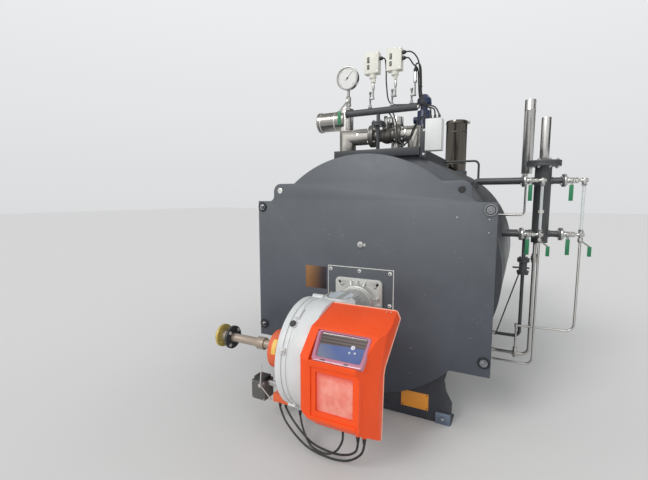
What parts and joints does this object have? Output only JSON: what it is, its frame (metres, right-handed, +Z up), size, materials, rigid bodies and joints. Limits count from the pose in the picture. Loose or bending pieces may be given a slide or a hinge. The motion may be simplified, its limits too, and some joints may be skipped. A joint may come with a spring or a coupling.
{
  "type": "industrial steam boiler",
  "caption": "Horizontal fire-tube steam boiler with a gas burner on its bolted front plate, a steam and instrument header on top, level gauges at the side and a flue stub.",
  "frame": {"origin": "on the floor, under the middle of the front saddle's base plate", "axes": "+Z up, -Y towards the burner end, +X to the right of someone who faces the burner"},
  "size_m": [2.391, 3.58, 2.47],
  "materials": {
    "boiler_paint": "satin",
    "casing_paint": "satin",
    "cladding_sheet": "satin",
    "saddle_paint": "matte",
    "clip_steel": "satin",
    "placard_orange": "satin",
    "bolt_steel": "satin",
    "data_plate_bronze": "satin",
    "burner_plate_paint": "satin",
    "gasket_cream": "matte",
    "cast_aluminium": "cast",
    "burner_grey": "satin",
    "cover_orange": "satin",
    "window_smoke": "gloss",
    "panel_red": "gloss",
    "hood_orange": "satin",
    "gas_pipe_brown": "satin",
    "servo_grey": "satin",
    "cable_black": "matte",
    "deck_grey": "satin",
    "polished_sheet": "polished",
    "valve_steel": "satin",
    "manifold_grey": "satin",
    "tube_steel": "satin",
    "gauge_steel": "polished",
    "nickel": "polished",
    "lever_green": "satin",
    "switch_white": "satin",
    "valve_blue": "satin",
    "box_white": "satin",
    "flue_steel": "polished",
    "gauge_glass": "gloss"
  },
  "bodies": {
    "boiler": {"front_plate": "boiler_paint", "front_casing": "casing_paint", "shell_cladding": "cladding_sheet", "rear_smoke_box": "casing_paint", "front_saddle": "saddle_paint", "rear_saddle": "saddle_paint", "foot_clips": "clip_steel", "placard": "placard_orange", "corner_bolts": "bolt_steel", "data_plate": "data_plate_bronze", "burner_plate": "burner_plate_paint", "gasket_rope": "gasket_cream", "burner_flange": "cast_aluminium", "burner_body": "burner_grey", "burner_cover": "cover_orange", "cover_window": "window_smoke", "lower_panel": "panel_red", "air_hood": "hood_orange", "gas_pipe": "gas_pipe_brown", "air_servo": "servo_grey", "burner_cable_1": "cable_black", "burner_cable_2": "cable_black", "burner_cable_3": "cable_black", "top_deck": "deck_grey", "steam_column": "polished_sheet", "steam_line": "polished_sheet", "steam_valve": "valve_steel", "instrument_manifold": "manifold_grey", "siphon_tubes": "tube_steel", "pressure_gauge": "gauge_steel", "gauge_cock": "nickel", "pressure_switches": "switch_white", "pressure_transmitter": "nickel", "safety_valve": "valve_blue", "junction_box": "box_white", "flue_stack": "flue_steel", "level_pipes": "manifold_grey", "level_vessel": "manifold_grey", "probe_tubes": "polished_sheet", "level_cocks": "nickel", "gauge_glasses": "gauge_glass", "drain_pipes": "tube_steel", "blowdown_valve": "manifold_grey"},
    "gauge_cock_handle": {"gauge_cock_lever": "lever_green"},
    "upper_handle_1": {"upper_lever_1": "lever_green"},
    "upper_handle_2": {"upper_lever_2": "lever_green"},
    "lower_handle_1": {"lower_lever_1": "lever_green"},
    "lower_handle_2": {"lower_lever_2": "lever_green"},
    "drain_handle_1": {"drain_lever_1": "lever_green"},
    "drain_handle_2": {"drain_lever_2": "lever_green"}
  },
  "joints": [
    {"name": "gauge_cock_turn", "type": "hinge", "parent": "boiler", "child": "gauge_cock_handle", "pos_m": [-0.245, 0.219, 2.153], "axis": [0, 1, 0], "range_deg": [0, 90]},
    {"name": "upper_cock_turn_1", "type": "hinge", "parent": "boiler", "child": "upper_handle_1", "pos_m": [0.992, 0.767, 1.572], "axis": [0, -1, 0], "range_deg": [0, 90]},
    {"name": "upper_cock_turn_2", "type": "hinge", "parent": "boiler", "child": "upper_handle_2", "pos_m": [1.257, 0.887, 1.572], "axis": [0, -1, 0], "range_deg": [0, 90]},
    {"name": "lower_cock_turn_1", "type": "hinge", "parent": "boiler", "child": "lower_handle_1", "pos_m": [0.992, 0.767, 1.172], "axis": [0, -1, 0], "range_deg": [0, 90]},
    {"name": "lower_cock_turn_2", "type": "hinge", "parent": "boiler", "child": "lower_handle_2", "pos_m": [1.257, 0.887, 1.172], "axis": [0, -1, 0], "range_deg": [0, 90]},
    {"name": "drain_cock_turn_1", "type": "hinge", "parent": "boiler", "child": "drain_handle_1", "pos_m": [1.07, 0.77, 1.132], "axis": [0, -1, 0], "range_deg": [0, 90]},
    {"name": "drain_cock_turn_2", "type": "hinge", "parent": "boiler", "child": "drain_handle_2", "pos_m": [1.34, 0.89, 1.132], "axis": [0, -1, 0], "range_deg": [0, 90]}
  ]
}
